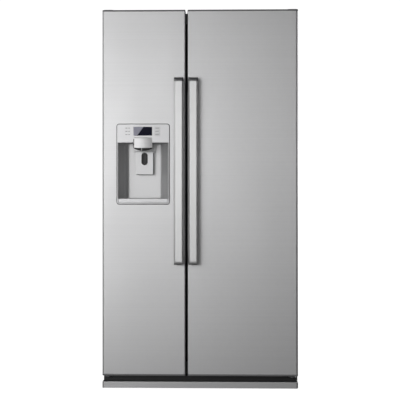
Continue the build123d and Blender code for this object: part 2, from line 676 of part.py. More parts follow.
FRONT_IN = DOOR_FACE + CORE_IN
BEHIND = SPLAY_Y[1] + 3.4
SIDE_TOP = DISP_Z[1] + 2
PASSAGE = (DISP_X - CHUTE_HALF - 1, DISP_X + CHUTE_HALF + 1)
with BuildPart() as freezer_door_core:
    door_block("freezer", CORE_IN, CORE_REAR, (CORE_Z[0], BULGE_Z[0] - JOINT))
    door_block("freezer", CORE_IN, CORE_REAR, (SIDE_TOP + JOINT, CORE_Z[1]))
    left, right = (value + sign * CORE_IN for value, sign in zip(DOOR_EDGES["freezer"], (1, -1)))
    middle_z = (BULGE_Z[0], SIDE_TOP)
    chamfered = [
        (left + HINGE_EDGE_R, FRONT_IN),
        (BULGE_X[0] - 1, FRONT_IN),
        (BULGE_X[0] - 1, CORE_REAR),
        (left, CORE_REAR),
        (left, FRONT_IN + HINGE_EDGE_R),
    ]
    foam_prism(chamfered, middle_z)
    plain = [
        (BULGE_X[1] + 1, FRONT_IN),
        (right - FREE_EDGE_R, FRONT_IN),
        (right, FRONT_IN + FREE_EDGE_R),
        (right, CORE_REAR),
        (BULGE_X[1] + 1, CORE_REAR),
    ]
    foam_prism(plain, middle_z)
    for side in (-1, 1):
        outer_x = DISP_X + side * (BULGE_X[1] - BULGE_X[0]) / 2
        front_x = DISP_X + side * (SPLAY_HALF[0] + WEDGE)
        rear_x = DISP_X + side * (SPLAY_HALF[1] + WEDGE)
        wedge = [(outer_x, SPLAY_Y[0]), (front_x, SPLAY_Y[0]), (rear_x, BEHIND), (outer_x, BEHIND)]
        foam_prism(wedge, (BULGE_Z[0], HEADER_Z + 4))
        inner_x = DISP_X + side * (CHUTE_HALF + 1)
        block(sorted((inner_x, outer_x)), (-300, BULGE_REAR), (HEADER_Z + 4.4, BULGE_Z[1] - 18))
    block(BULGE_X, (BEHIND + 0.4, BULGE_REAR), (BULGE_Z[0] + JOINT, HEADER_Z + 4))
save(freezer_door_core, "freezer_door_core")

with BuildPart() as fridge_door_core:
    door_block("fridge", CORE_IN, CORE_REAR, CORE_Z)
save(fridge_door_core, "fridge_door_core")

RIB_REAR = -200.0
RIB_Z = (122.0, 1694.0)
RIB_W = 18.0
RIBS = {"freezer": (-392.0, -104.0), "fridge": (-22.0, 392.0)}
LINER_EDGE = 1.0
LINER_Z = (CORE_Z[0] + 0.3, CORE_Z[1] - 0.3)
with BuildPart() as freezer_door_liner:
    edges = DOOR_EDGES["freezer"]
    block((edges[0] + LINER_EDGE, edges[1] - LINER_EDGE), (CORE_REAR, DOOR_REAR), LINER_Z)
    for x in (RIBS["freezer"][0], RIBS["freezer"][1] - RIB_W):
        block((x, x + RIB_W), (CORE_REAR, RIB_REAR), RIB_Z)
    bulge_wall = 2.0
    bulge_out = (BULGE_X[0] - bulge_wall, BULGE_X[1] + bulge_wall)
    bulge_high = (BULGE_Z[0] - bulge_wall, BULGE_Z[1] + bulge_wall)
    block(bulge_out, (CORE_REAR, BULGE_REAR + bulge_wall), bulge_high)
    block(BULGE_X, (CORE_REAR - 1, BULGE_REAR), BULGE_Z, Mode.SUBTRACT)
    block(PASSAGE, (-247, -186), (BULGE_Z[0] + 100, BULGE_Z[1] + 9), Mode.SUBTRACT)
save(freezer_door_liner, "freezer_door_liner")

with BuildPart() as fridge_door_liner:
    edges = DOOR_EDGES["fridge"]
    block((edges[0] + LINER_EDGE, edges[1] - LINER_EDGE), (CORE_REAR, DOOR_REAR), LINER_Z)
    for x in (RIBS["fridge"][0], RIBS["fridge"][1] - RIB_W):
        block((x, x + RIB_W), (CORE_REAR, RIB_REAR), RIB_Z)
save(fridge_door_liner, "fridge_door_liner")

FREEZER_BINS = ((350.0, 450.0), (560.0, 660.0), (1490.0, 1590.0))
FRIDGE_BINS = ((560.0, 670.0), (800.0, 900.0), (1030.0, 1130.0), (1260.0, 1360.0))
DAIRY_Z = (1520.0, 1600.0)
BIN_FRONT = DOOR_REAR
FREEZER_BIN = (-373.0, -127.0, -150.0)
FRIDGE_BIN = (3.0, 373.0, -122.0)


def door_bins(door, low, high, rear, levels):
    """Open bins hung between the liner ribs."""
    with BuildPart() as bins:
        for level in levels:
            tray((low, high), (BIN_FRONT, rear), level, 3.0, 14)
    save(bins, f"{door}_door_bins")


door_bins("freezer", *FREEZER_BIN, FREEZER_BINS)
door_bins("fridge", *FRIDGE_BIN, FRIDGE_BINS + (DAIRY_Z,))

DAIRY_X = (FRIDGE_BIN[0] + 1, FRIDGE_BIN[1] - 1)
with BuildPart() as dairy_cover:
    block(DAIRY_X, (-242, -120), (DAIRY_Z[1] + 1, DAIRY_Z[1] + 3.5))
    block(DAIRY_X, (-121.5, -118), (DAIRY_Z[1] - 42, DAIRY_Z[1] + 3.5))
    cylinder((sum(DAIRY_X) / 2, -240, DAIRY_Z[1] + 5), 4, DAIRY_X[1] - DAIRY_X[0], Axis.X)
    fillet(dairy_cover.edges().filter_by(Axis.X).group_by(Axis.Y)[-1], 1.2)
save(dairy_cover, "dairy_cover")

# ---- dispenser ---------------------------------------------------------------------------

GAP = 0.3
FRAME_FACE = DOOR_FACE - 2.5
FRAME_REAR = -312.0
LIP = 4.0
MOUTH_Z = (DISP_Z[0] + LIP, HEADER_Z)
BUTTON = (26.0, 9.0)
with BuildPart() as dispenser_frame:
    with BuildSketch(Plane.XZ.offset(-DOOR_FACE)):
        with Locations((DISP_X, sum(DISP_Z) / 2)):
            RectangleRounded(DISP_W, DISP_Z[1] - DISP_Z[0], 10)
    extrude(amount=2.5)
    fillet(dispenser_frame.faces().sort_by(Axis.Y)[0].edges(), 1)
    collar_x = (CUT_X[0] + GAP, CUT_X[1] - GAP)
    block(collar_x, (DOOR_FACE, FRAME_REAR), (CUT_Z[0] + GAP, CUT_Z[1] - GAP))
    mouth = (DISP_X - SPLAY_HALF[0], DISP_X + SPLAY_HALF[0])
    through = (FRAME_FACE - 1, FRAME_REAR + 1)
    block(mouth, through, MOUTH_Z, Mode.SUBTRACT)
    block(WINDOW[:2], through, WINDOW[2:], Mode.SUBTRACT)
    chute_x = (DISP_X - CHUTE_HALF - 0.4, DISP_X + CHUTE_HALF + 0.4)
    block(chute_x, through, (HEADER_Z - 1, 1170), Mode.SUBTRACT)
    for z in BUTTON_Z:
        slot = (BUTTON_X - BUTTON[0] / 2 - 0.4, BUTTON_X + BUTTON[0] / 2 + 0.4)
        block(slot, through, (z - BUTTON[1] / 2 - 0.4, z + BUTTON[1] / 2 + 0.4), Mode.SUBTRACT)
save(dispenser_frame, "dispenser_frame")


def splay(front, rear, half):
    """Plan of the recess, narrowing towards the back."""
    return [
        (DISP_X - half[0], front),
        (DISP_X + half[0], front),
        (DISP_X + half[1], rear),
        (DISP_X - half[1], rear),
    ]


HOUSING_T = 3.0
SPLAY_SLOPE = (SPLAY_HALF[0] - SPLAY_HALF[1]) / (SPLAY_Y[1] - SPLAY_Y[0])
with BuildPart() as dispenser_housing:
    outer = [half + HOUSING_T for half in SPLAY_HALF]
    floor_z = MOUTH_Z[0] - HOUSING_T
    prism_z(splay(SPLAY_Y[0], SPLAY_Y[1] + HOUSING_T, outer), (floor_z, HEADER_Z + HOUSING_T))
    over = [SPLAY_HALF[0] + SPLAY_SLOPE, SPLAY_HALF[1]]
    prism_z(splay(SPLAY_Y[0] - 1, SPLAY_Y[1], over), MOUTH_Z, Mode.SUBTRACT)
    spout = (DISP_X - CHUTE_HALF - 0.5, DISP_X + CHUTE_HALF + 0.5)
    block(spout, (SPLAY_Y[0] - 1, -225), (HEADER_Z - 1, HEADER_Z + 9), Mode.SUBTRACT)
save(dispenser_housing, "dispenser_housing")

with BuildPart() as dispenser_display:
    pane_x, pane_z = WINDOW[:2], WINDOW[2:]
    pane = (pane_x[0] + GAP, pane_x[1] - GAP), (pane_z[0] + GAP, pane_z[1] - GAP)
    block(pane[0], (FRAME_FACE + 0.8, FRAME_REAR), pane[1])
    board = (pane_x[0] - 4, pane_x[1] + 4), (pane_z[0] - 3, pane_z[1] + 3)
    block(board[0], (FRAME_REAR, FRAME_REAR + 5), board[1])
save(dispenser_display, "dispenser_display")

CHUTE_WALL = 3.0
with BuildPart() as dispenser_chute:
    lead = [
        (-187, CHUTE_Z[1]),
        (-246, CHUTE_Z[1]),
        (-249, 1233),
        (-303, 1169),
        (-317, 1169),
        (-317, 1128),
        (-300, CHUTE_Z[0]),
        (-246, CHUTE_Z[0]),
    ]
    prism_x(lead, (DISP_X - CHUTE_HALF, DISP_X + CHUTE_HALF))
    bore = [
        (-191, CHUTE_Z[1] + 1),
        (-241, CHUTE_Z[1] + 1),
        (-243, 1232),
        (-298, CHUTE_Z[0] - 1),
        (-252, CHUTE_Z[0] - 1),
    ]
    bore_half = CHUTE_HALF - CHUTE_WALL
    prism_x(bore, (DISP_X - bore_half, DISP_X + bore_half), Mode.SUBTRACT)
save(dispenser_chute, "dispenser_chute")

FLAP_PIVOT = (-201.0, 1240.0)
with BuildPart() as ice_flap:
    block((DISP_X - 34, DISP_X + 34), (-238, FLAP_PIVOT[0]), (1238.5, 1241.5))
    cylinder((DISP_X, FLAP_PIVOT[0], FLAP_PIVOT[1]), 2.0, 73, Axis.X)
save(ice_flap, "ice_flap")

LEVER_PIVOT = (-243.0, 1106.0)
LEVER_HALF = 41.0
with BuildPart() as dispenser_lever:
    block((DISP_X - LEVER_HALF, DISP_X + LEVER_HALF), (-246, -241), (1000, 1108))
    fillet(dispenser_lever.edges().filter_by(Axis.Y), 4)
    with BuildSketch(Plane.XZ.offset(246)):
        with Locations((DISP_X + 1, 1072)):
            SlotOverall(59, 29, rotation=90)
    extrude(amount=3)
    cylinder((DISP_X, LEVER_PIVOT[0], LEVER_PIVOT[1]), 3.5, 2 * LEVER_HALF + 14, Axis.X)
save(dispenser_lever, "dispenser_lever")

GRILLE_BARS = 9
TRAY_TOP = 886.0
with BuildPart() as drip_tray:
    slide = (MOUTH_Z[0] + 0.6, TRAY_TOP)
    tray_half = [half - 2 for half in SPLAY_HALF]
    prism_z(splay(FRAME_FACE + 0.5, SPLAY_Y[1] - 3, [tray_half[0], tray_half[1]]), slide)
    fillet(drip_tray.faces().sort_by(Axis.Y)[0].edges().filter_by(Axis.X), 2)
    pan = [half - 6 for half in tray_half]
    prism_z(splay(-304, SPLAY_Y[1] - 7, pan), (slide[0] + 2, TRAY_TOP + 1), Mode.SUBTRACT)
    for bar in range(GRILLE_BARS):
        bar_y = -296 + bar * 9.5
        block((DISP_X - 72, DISP_X + 72), (bar_y, bar_y + 3.5), (TRAY_TOP - 5, TRAY_TOP - 1))
    for x in (DISP_X - 72, DISP_X, DISP_X + 72):
        block((x - 2, x + 2), (-305, SPLAY_Y[1] - 6), (TRAY_TOP - 6, TRAY_TOP - 1))
save(drip_tray, "drip_tray")

for number, z in enumerate(BUTTON_Z, 1):
    with BuildPart() as button:
        cap_z = (z - BUTTON[1] / 2, z + BUTTON[1] / 2)
        cap_x = (BUTTON_X - BUTTON[0] / 2, BUTTON_X + BUTTON[0] / 2)
        block(cap_x, (FRAME_FACE - 2, FRAME_REAR + 2), cap_z)
        fillet(button.faces().sort_by(Axis.Y)[0].edges(), 0.8)
        stop_x, stop_z = (cap_x[0] - 1.5, cap_x[1] + 1.5), (cap_z[0] - 1.5, cap_z[1] + 1.5)
        block(stop_x, (FRAME_REAR + 0.6, FRAME_REAR + 2), stop_z)
    save(button, f"dispenser_button_{number}")
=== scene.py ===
# %% [markdown]
# # A side-by-side refrigerator
# The cabinet, doors and machinery come ready measured from the frame. This notebook
# gives every one of them a finish, adds the small pieces that only the eye needs,
# and lights the result like a catalogue picture.

import json
import math

import bmesh
import bpy
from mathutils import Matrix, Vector


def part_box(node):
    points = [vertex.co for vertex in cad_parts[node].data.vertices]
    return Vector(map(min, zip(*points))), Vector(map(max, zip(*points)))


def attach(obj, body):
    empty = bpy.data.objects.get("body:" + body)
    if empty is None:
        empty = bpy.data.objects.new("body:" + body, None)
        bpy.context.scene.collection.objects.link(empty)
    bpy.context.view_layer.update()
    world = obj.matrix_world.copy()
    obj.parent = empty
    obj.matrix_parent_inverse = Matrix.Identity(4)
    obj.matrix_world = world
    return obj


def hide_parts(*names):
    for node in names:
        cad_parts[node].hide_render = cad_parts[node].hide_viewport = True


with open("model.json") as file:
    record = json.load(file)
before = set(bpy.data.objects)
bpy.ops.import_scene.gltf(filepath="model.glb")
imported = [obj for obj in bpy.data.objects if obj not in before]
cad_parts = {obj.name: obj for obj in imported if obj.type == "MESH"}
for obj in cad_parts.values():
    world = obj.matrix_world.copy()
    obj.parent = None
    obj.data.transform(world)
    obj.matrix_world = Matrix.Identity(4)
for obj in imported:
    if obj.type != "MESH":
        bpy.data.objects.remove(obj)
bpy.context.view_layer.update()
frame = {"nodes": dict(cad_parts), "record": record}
nodes = frame["nodes"]

# %% [markdown]
# ## Soft shading for the measured pieces
# A folded sheet has rounded bends, but its mesh is made of flat strips. Changing the
# mesh is not allowed, so a geometry modifier marks faces smooth and keeps every edge
# sharper than 32 degrees crisp. A modifier was chosen because it leaves the vertices alone.

# %% Build the shading modifier once
SHARP_ANGLE = math.radians(32)


def soft_shading_tree():
    tree = bpy.data.node_groups.new("soft_shading", "GeometryNodeTree")
    tree.interface.new_socket("Geometry", in_out="INPUT", socket_type="NodeSocketGeometry")
    tree.interface.new_socket("Geometry", in_out="OUTPUT", socket_type="NodeSocketGeometry")
    start = tree.nodes.new("NodeGroupInput")
    end = tree.nodes.new("NodeGroupOutput")
    faces = tree.nodes.new("GeometryNodeSetShadeSmooth")
    edges = tree.nodes.new("GeometryNodeSetShadeSmooth")
    edges.domain = "EDGE"
    angle = tree.nodes.new("GeometryNodeInputMeshEdgeAngle")
    gentle = tree.nodes.new("FunctionNodeCompare")
    gentle.operation = "LESS_THAN"
    gentle.inputs["B"].default_value = SHARP_ANGLE
    tree.links.new(angle.outputs["Unsigned Angle"], gentle.inputs["A"])
    tree.links.new(start.outputs[0], faces.inputs["Geometry"])
    tree.links.new(faces.outputs[0], edges.inputs["Geometry"])
    tree.links.new(gentle.outputs["Result"], edges.inputs["Shade Smooth"])
    tree.links.new(edges.outputs[0], end.inputs[0])
    return tree


soft_shading = soft_shading_tree()
for node_object in nodes.values():
    modifier = node_object.modifiers.new("soft_shading", "NODES")
    modifier.node_group = soft_shading
print("soft shading on", len(nodes), "pieces")

# %% [markdown]
# ## Shared surface effects
# Brushed lines, moulded grain, rubbed edges, settled dust and finger marks turn up on
# many finishes. Each is a small node group with named inputs, made once, so that every
# material places it with its own numbers and they all stay in one style.

# %% Helper for making a node group
def effect_group(name, inputs, outputs):
    tree = bpy.data.node_groups.new(name, "ShaderNodeTree")
    for label, default in inputs:
        socket = tree.interface.new_socket(label, in_out="INPUT", socket_type="NodeSocketFloat")
        socket.default_value = default
    for label in outputs:
        tree.interface.new_socket(label, in_out="OUTPUT", socket_type="NodeSocketFloat")
    return tree, tree.nodes.new("NodeGroupInput"), tree.nodes.new("NodeGroupOutput")


def math_node(tree, operation, first, second=None, clamp=False):
    node = tree.nodes.new("ShaderNodeMath")
    node.operation = operation
    node.use_clamp = clamp
    for socket, value in zip(node.inputs, (first, second)):
        if value is None:
            continue
        if hasattr(value, "links"):
            tree.links.new(value, socket)
        else:
            socket.default_value = value
    return node.outputs[0]


def object_noise(tree, stretch, scale, detail=3.0):
    """Noise in the piece's own metres, stretched along one axis."""
    place = tree.nodes.new("ShaderNodeTexCoord")
    mapping = tree.nodes.new("ShaderNodeMapping")
    mapping.inputs["Scale"].default_value = stretch
    noise = tree.nodes.new("ShaderNodeTexNoise")
    noise.inputs["Detail"].default_value = detail
    tree.links.new(place.outputs["Object"], mapping.inputs["Vector"])
    tree.links.new(mapping.outputs["Vector"], noise.inputs["Vector"])
    if hasattr(scale, "links"):
        tree.links.new(scale, noise.inputs["Scale"])
    else:
        noise.inputs["Scale"].default_value = scale
    return noise.outputs["Fac"]


# %% [markdown]
# Brushing leaves long scratches in one direction. Two stretched noises, one fine and one
# coarser, give the lines and the slow change of tone between strokes. A picture of
# scratches would repeat, so the lines are worked out from position instead.

# %% Brushed lines, flat and upright
def brushed_group(name, stretch):
    tree, start, end = effect_group(
        name, [("Fineness", 60.0), ("Contrast", 0.5)], ["Lines", "Tone"]
    )
    fine = object_noise(tree, stretch, start.outputs["Fineness"])
    slow = object_noise(tree, tuple(v * 0.18 for v in stretch), start.outputs["Fineness"], 1.0)
    centred = math_node(tree, "SUBTRACT", fine, 0.5)
    lines = math_node(tree, "MULTIPLY_ADD", centred, start.outputs["Contrast"])
    lines.node.inputs[2].default_value = 0.5
    tree.links.new(lines, end.inputs["Lines"])
    tree.links.new(slow, end.inputs["Tone"])
    return tree


brushed_across = brushed_group("brushed_across", (0.04, 1.0, 14.0))
brushed_upright = brushed_group("brushed_upright", (14.0, 1.0, 0.04))


# %% [markdown]
# Moulded plastic copies the spark-eroded texture of its tool: tiny rounded pits. A cell
# pattern mixed with noise reads as that grain when it is used only as height.

# %% Moulded grain
def moulded_group():
    tree, start, end = effect_group("moulded_grain", [("Fineness", 900.0)], ["Height", "Mottle"])
    place = tree.nodes.new("ShaderNodeTexCoord")
    cells = tree.nodes.new("ShaderNodeTexVoronoi")
    tree.links.new(place.outputs["Object"], cells.inputs["Vector"])
    tree.links.new(start.outputs["Fineness"], cells.inputs["Scale"])
    rough = object_noise(tree, (1, 1, 1), start.outputs["Fineness"], 2.0)
    tree.links.new(math_node(tree, "MULTIPLY", cells.outputs["Distance"], rough), end.inputs[0])
    tree.links.new(object_noise(tree, (1, 1, 1), 9.0, 4.0), end.inputs["Mottle"])
    return tree


moulded_grain = moulded_group()


# %% [markdown]
# Hands and cloths rub paint and plating thin on corners. Pointiness tells how sharp the
# surface is, and noise breaks the mask up so that no two corners wear alike.

# %% Rubbed edges
def edge_group():
    tree, start, end = effect_group("rubbed_edges", [("Reach", 9.0), ("Amount", 0.6)], ["Mask"])
    shape = tree.nodes.new("ShaderNodeNewGeometry")
    sharp = math_node(tree, "SUBTRACT", shape.outputs["Pointiness"], 0.52)
    grown = math_node(tree, "MULTIPLY", sharp, start.outputs["Reach"], clamp=True)
    broken = math_node(tree, "MULTIPLY", grown, object_noise(tree, (1, 1, 1), 55.0, 5.0))
    tree.links.new(
        math_node(tree, "MULTIPLY", broken, start.outputs["Amount"], clamp=True), end.inputs["Mask"]
    )
    return tree


rubbed_edges = edge_group()


# %% [markdown]
# Dust settles only where a surface faces up, and lies unevenly. The upward part of the
# normal, multiplied by a cloudy noise, gives a mask for paler colour and more roughness.

# %% Settled dust
def dust_group():
    tree, start, end = effect_group("settled_dust", [("Amount", 0.3)], ["Mask"])
    shape = tree.nodes.new("ShaderNodeNewGeometry")
    split = tree.nodes.new("ShaderNodeSeparateXYZ")
    tree.links.new(shape.outputs["Normal"], split.inputs[0])
    facing = math_node(tree, "MAXIMUM", split.outputs["Z"], 0.0)
    cloudy = math_node(tree, "MULTIPLY", facing, object_noise(tree, (1, 1, 1), 14.0, 6.0))
    tree.links.new(
        math_node(tree, "MULTIPLY", cloudy, start.outputs["Amount"], clamp=True), end.inputs["Mask"]
    )
    return tree


settled_dust = dust_group()


# %% [markdown]
# Wiped metal and gloss plastic keep faint cloudy marks. They change how sharp a
# reflection is, not the colour, so the group gives a value for roughness.

# %% Finger and cloth marks
def wiped_group():
    tree, start, end = effect_group("wiped_marks", [("Size", 5.0), ("Amount", 0.1)], ["Haze"])
    marks = object_noise(tree, (1.0, 1.0, 0.45), start.outputs["Size"], 5.0)
    centred = math_node(tree, "SUBTRACT", marks, 0.5)
    tree.links.new(math_node(tree, "MULTIPLY", centred, start.outputs["Amount"]), end.inputs[0])
    return tree


wiped_marks = wiped_group()
print("effect groups:", [g.name for g in bpy.data.node_groups if g.bl_idname == "ShaderNodeTree"])


# %% [markdown]
# ## Finishes
# One function sets up a Principled shader and puts the effects where they act: lines or
# grain into height, marks and dust into roughness, wear and dust into colour. Every
# finish then differs only in its numbers, as real coatings over real materials do.

# %% Finish builder
def place_group(tree, group, **values):
    node = tree.nodes.new("ShaderNodeGroup")
    node.node_tree = group
    for label, value in values.items():
        node.inputs[label].default_value = value
    return node


def blend_colour(tree, mask, low, high):
    mix = tree.nodes.new("ShaderNodeMix")
    mix.data_type = "RGBA"
    tree.links.new(mask, mix.inputs["Factor"])
    for socket, colour in ((mix.inputs["A"], low), (mix.inputs["B"], high)):
        if hasattr(colour, "links"):
            tree.links.new(colour, socket)
        else:
            socket.default_value = (*colour, 1.0)
    return mix.outputs["Result"]


def finish(
    name,
    colour,
    roughness,
    metallic=0.0,
    lines=None,
    fineness=60.0,
    relief=0.1,
    depth=0.0001,
    tone=0.06,
    haze=0.08,
    dust=0.2,
    wear=0.4,
    worn_colour=None,
    **sockets,
):
    material = bpy.data.materials.new(name)
    material.use_nodes = True
    tree = material.node_tree
    shader = tree.nodes["Principled BSDF"]
    shader.inputs["Metallic"].default_value = metallic
    for label, value in sockets.items():
        shader.inputs[label.replace("_", " ")].default_value = value

    if lines:
        surface = place_group(tree, lines, Fineness=fineness)
        height, shade = surface.outputs["Lines"], surface.outputs["Tone"]
    else:
        surface = place_group(tree, moulded_grain, Fineness=fineness)
        height, shade = surface.outputs["Height"], surface.outputs["Mottle"]
    bump = tree.nodes.new("ShaderNodeBump")
    bump.inputs["Strength"].default_value = relief
    bump.inputs["Distance"].default_value = depth
    tree.links.new(height, bump.inputs["Height"])
    tree.links.new(bump.outputs["Normal"], shader.inputs["Normal"])

    darker = tuple(v * (1 - tone) for v in colour)
    lighter = tuple(min(v * (1 + tone), 1.0) for v in colour)
    base = blend_colour(tree, shade, darker, lighter)
    edges = place_group(tree, rubbed_edges, Amount=wear)
    worn = worn_colour or tuple(min(v * 1.35 + 0.03, 1.0) for v in colour)
    base = blend_colour(tree, edges.outputs["Mask"], base, worn)
    lint = place_group(tree, settled_dust, Amount=dust)
    base = blend_colour(tree, lint.outputs["Mask"], base, (0.62, 0.61, 0.58))
    tree.links.new(base, shader.inputs["Base Color"])

    marks = place_group(tree, wiped_marks, Amount=haze)
    varied = math_node(tree, "ADD", marks.outputs["Haze"], roughness)
    dusty = math_node(tree, "MULTIPLY_ADD", lint.outputs["Mask"], 0.35)
    tree.links.new(varied, dusty.node.inputs[2])
    dusty.node.use_clamp = True
    tree.links.new(dusty, shader.inputs["Roughness"])
    return material


# %% [markdown]
# The doors are ferritic stainless sheet, brushed across and sealed with a thin clear
# coat that resists fingerprints. Metal colour with middling roughness gives the slow
# gradient such doors show, and the coat adds the faint sharper sheen on top.

# %% Metal finishes
finishes = {}
finishes["stainless"] = finish(
    "stainless", (0.60, 0.60, 0.605), 0.45, 1.0, brushed_across, 55.0, 0.10, 0.00006, 0.035,
    haze=0.06, dust=0.05, wear=0.1, Coat_Roughness=0.35,
)
finishes["handle_aluminium"] = finish(
    "handle_aluminium", (0.60, 0.60, 0.60), 0.42, 1.0, brushed_upright, 70.0, 0.10, 0.00005, 0.03,
    haze=0.05, dust=0.05, wear=0.15,
)
# A dark and a paler copy of the handle metal: the dark one is painted shade on the top ends and
# also colours the posts; the paler one is painted light on the feet.
finishes["handle_dark"] = finish(
    "handle_dark", (0.20, 0.20, 0.205), 0.34, 0.8, brushed_upright, 70.0, 0.05, 0.00004, 0.08,
    dust=0.02, wear=0.1,
)
finishes["handle_foot_painted_light"] = finish(
    "handle_foot_painted_light", (0.64, 0.64, 0.645), 0.40, 1.0, brushed_upright, 70.0, 0.05, 0.00004, 0.05,
    dust=0.02, wear=0.1,
)
finishes["chute_chrome"] = finish(
    "chute_chrome", (0.55, 0.55, 0.555), 0.44, 0.95, None, 300.0, 0.03, 0.00003, 0.02,
    haze=0.08, dust=0.05, wear=0.2,
)
finishes["bare_aluminium"] = finish(
    "bare_aluminium", (0.66, 0.67, 0.68), 0.38, 1.0, brushed_across, 90.0, 0.15, tone=0.1,
    haze=0.15, dust=0.3,
)
finishes["galvanised"] = finish(
    "galvanised", (0.52, 0.53, 0.55), 0.48, 0.85, None, 120.0, 0.06, tone=0.16, haze=0.2,
    dust=0.25, wear=0.3,
)
finishes["zinc_steel"] = finish(
    "zinc_steel", (0.56, 0.56, 0.55), 0.36, 0.9, None, 500.0, 0.08, tone=0.1, haze=0.2, wear=0.5,
)
finishes["hinge_steel"] = finish(
    "hinge_steel", (0.16, 0.16, 0.17), 0.42, 0.7, None, 700.0, 0.1, tone=0.1, wear=0.7,
)
finishes["case_paint"] = finish(
    "case_paint", (0.27, 0.275, 0.285), 0.46, 0.25, None, 420.0, 0.22, 0.00008, 0.04,
    haze=0.1, dust=0.25, wear=0.25, Coat_Weight=0.25, Coat_Roughness=0.3,
)
finishes["black_steel"] = finish(
    "black_steel", (0.022, 0.022, 0.023), 0.4, 0.1, None, 500.0, 0.25, tone=0.2, dust=0.6,
    wear=0.5, worn_colour=(0.25, 0.25, 0.25),
)

# %% [markdown]
# Plastics differ by gloss and by how much light passes in. The white liner is glossy and
# slightly milky, the bins are clear, and the dispenser is painted silver, which needs a
# little metallic for its flake.

# %% Plastic, rubber and glass finishes
finishes["white_plastic"] = finish(
    "white_plastic", (0.80, 0.81, 0.81), 0.28, 0.0, None, 500.0, 0.06, tone=0.02, haze=0.08,
    dust=0.03, wear=0.05, Subsurface_Weight=0.05,
)
finishes["grey_plastic"] = finish(
    "grey_plastic", (0.20, 0.20, 0.205), 0.45, 0.0, None, 1200.0, 0.25, tone=0.06, wear=0.3,
)
finishes["black_plastic"] = finish(
    "black_plastic", (0.010, 0.010, 0.011), 0.42, 0.0, None, 1200.0, 0.3, tone=0.2, dust=0.12,
    wear=0.3,
)
finishes["seal_rubber"] = finish(
    "seal_rubber", (0.045, 0.045, 0.048), 0.62, 0.0, None, 1500.0, 0.2, tone=0.1, dust=0.1,
)
finishes["foam"] = finish(
    "foam", (0.72, 0.62, 0.38), 0.85, 0.0, None, 260.0, 0.6, 0.0006, 0.12, dust=0.1, wear=0.2,
)
finishes["dispenser_silver"] = finish(
    "dispenser_silver", (0.60, 0.60, 0.61), 0.38, 0.55, None, 1500.0, 0.05, tone=0.02, haze=0.05,
    dust=0.05, wear=0.12, Coat_Weight=0.3, Coat_Roughness=0.2,
)
finishes["dispenser_grey"] = finish(
    "dispenser_grey", (0.66, 0.66, 0.665), 0.45, 0.2, None, 1500.0, 0.06, tone=0.03, haze=0.06,
    dust=0.02, wear=0.05,
)
finishes["recess_light"] = finish(
    "recess_light", (0.67, 0.67, 0.675), 0.48, 0.85, None, 1500.0, 0.05, tone=0.02, haze=0.05,
    dust=0.05, wear=0.05,
)
finishes["recess_mid"] = finish(
    "recess_mid", (0.56, 0.56, 0.565), 0.45, 0.2, None, 1500.0, 0.05, tone=0.02, dust=0.02,
)
finishes["lever_grey"] = finish(
    "lever_grey", (0.86, 0.86, 0.87), 0.36, 0.2, None, 1500.0, 0.05, tone=0.02, dust=0.05,
    Coat_Weight=0.2, Coat_Roughness=0.2,
)


def clear_finish(name, colour, roughness, alpha):
    material = finish(
        name, colour, roughness, 0.0, None, 700.0, 0.04, tone=0.02, haze=0.06, dust=0.1, wear=0.2
    )
    shader = material.node_tree.nodes["Principled BSDF"]
    shader.inputs["Transmission Weight"].default_value = alpha
    shader.inputs["IOR"].default_value = 1.49
    return material


finishes["clear_plastic"] = clear_finish("clear_plastic", (0.86, 0.92, 0.95), 0.12, 0.85)
finishes["shelf_glass"] = clear_finish("shelf_glass", (0.86, 0.95, 0.92), 0.04, 0.92)
print("finishes:", sorted(finishes))


# %% [markdown]
# The display is a dark blue panel. A pale slanting band on its left half, with a
# narrow soft edge, is a painted reflection. It is drawn from position on the panel: a slanted
# ramp chooses between the pale painted reflection and the dark colour, so it stays put from every
# side.

# %% Display finish
window_low, window_high = (Vector(c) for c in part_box("dispenser_display"))


REFLECTION_BAND_SHIFT = 0.010
REFLECTION_BAND_LEAN = 0.72
REFLECTION_BAND_SHARPNESS = 260.0


def display_finish():
    material = finish(
        "display_glass", (0.004, 0.004, 0.024), 0.30, 0.0, None, 900.0, 0.02, tone=0.3,
        dust=0.0, wear=0.0, Specular_IOR_Level=0.06,
    )
    tree = material.node_tree
    shader = tree.nodes["Principled BSDF"]
    dark = shader.inputs["Base Color"].links[0].from_socket
    place = tree.nodes.new("ShaderNodeTexCoord")
    split = tree.nodes.new("ShaderNodeSeparateXYZ")
    tree.links.new(place.outputs["Object"], split.inputs[0])
    middle = (window_low + window_high) / 2
    across = math_node(tree, "SUBTRACT", split.outputs["X"], middle.x - REFLECTION_BAND_SHIFT)
    upward = math_node(tree, "SUBTRACT", split.outputs["Z"], middle.z)
    lean = math_node(tree, "MULTIPLY", upward, REFLECTION_BAND_LEAN)
    slanted = math_node(tree, "SUBTRACT", lean, across)
    edge = math_node(tree, "MULTIPLY", slanted, REFLECTION_BAND_SHARPNESS, clamp=True)
    # Painted reflection: the pale colour that fills the slanted band.
    cloudy = blend_colour(tree, split.outputs["X"], (0.55, 0.55, 0.66), (0.75, 0.75, 0.82))
    tree.links.new(blend_colour(tree, edge, dark, cloudy), shader.inputs["Base Color"])
    return material


finishes["display_glass"] = display_finish()

# %% [markdown]
# ## Dress every measured piece
# The record says which finish slot each node wears, so one loop dresses them all. The
# centre strip and the front flanges belong to the painted case.

# %% Assign the finishes
slot_of = {entry["node"]: entry["material_slot"] for entry in frame["record"]["subparts"]}
for name, node_object in nodes.items():
    node_object.data.materials.clear()
    node_object.data.materials.append(finishes[slot_of[name]])
print("dressed", len(nodes), "pieces")

# %% [markdown]
# ## Small helpers for new pieces
# New pieces are built in mesh code. A block gets its edges rounded with a bevel, and an
# outline is lofted along a line, which suits bars, seals and trims.

